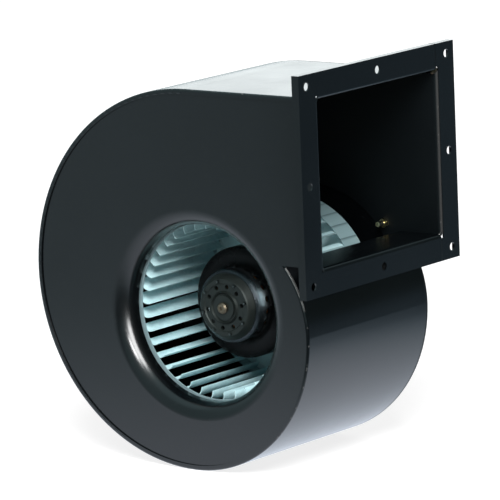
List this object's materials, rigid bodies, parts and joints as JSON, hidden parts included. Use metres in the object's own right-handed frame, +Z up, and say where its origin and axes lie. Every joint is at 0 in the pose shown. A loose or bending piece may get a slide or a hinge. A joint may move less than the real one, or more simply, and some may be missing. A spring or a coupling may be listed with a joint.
{
  "type": "centrifugal fan",
  "caption": "Single-inlet centrifugal fan: sheet-steel scroll housing with a bell-mouth inlet, flanged outlet, forward-curved blade wheel and external-rotor motor.",
  "frame": {"origin": "middle of the outlet flange's bolt pattern, on the face of the flange", "axes": "+X out of the outlet, +Y along the wheel axis from the inlet to the motor side, +Z up as in the picture"},
  "size_m": [0.346, 0.255, 0.3975],
  "materials": {
    "housing_paint": "semi-gloss black paint on sheet steel",
    "galvanised": "galvanised sheet, pale blue-grey",
    "yellow_zinc": "yellow zinc plate",
    "rotor_paint": "gloss black paint",
    "cast_grey": "die cast, dark grey-green",
    "bright_pins": "cast aluminium",
    "steel": "ground steel",
    "laminations": "stacked electrical sheet",
    "copper": "enamelled copper wire",
    "insulation": "pressboard",
    "rubber": "black rubber",
    "brass": "brass"
  },
  "bodies": {
    "housing": {"inlet_side_plate": "housing_paint", "motor_side_plate": "housing_paint", "scroll_wrapper": "housing_paint", "flange_top_bar": "housing_paint", "flange_bottom_bar": "housing_paint", "flange_inlet_bar": "housing_paint", "flange_motor_bar": "housing_paint", "motor_plate": "housing_paint", "motor_plate_screws": "yellow_zinc", "motor_plate_nuts": "yellow_zinc", "stator_base_screws": "yellow_zinc", "stator_base": "cast_grey", "bearing_tube": "steel", "bearing_outer_rings": "steel", "stator_core": "laminations", "stator_windings": "copper", "slot_insulation": "insulation", "cable_grommet": "rubber"},
    "wheel": {"wheel_front_ring": "galvanised", "blade_strip": "galvanised", "wheel_disc": "galvanised", "disc_rivets": "galvanised", "rotor_shell": "rotor_paint", "rotor_screws": "steel", "rotor_core": "laminations", "rotor_end_cap": "cast_grey", "balance_pins": "bright_pins", "shaft": "steel", "bearing_inner_rings": "steel", "retaining_ring": "steel", "shaft_cap": "brass"}
  },
  "joints": [
    {"name": "impeller_spin", "type": "hinge", "parent": "housing", "child": "wheel", "pos_m": [-0.153, 0, -0.1385], "axis": [0, 1, 0], "continuous": true}
  ]
}
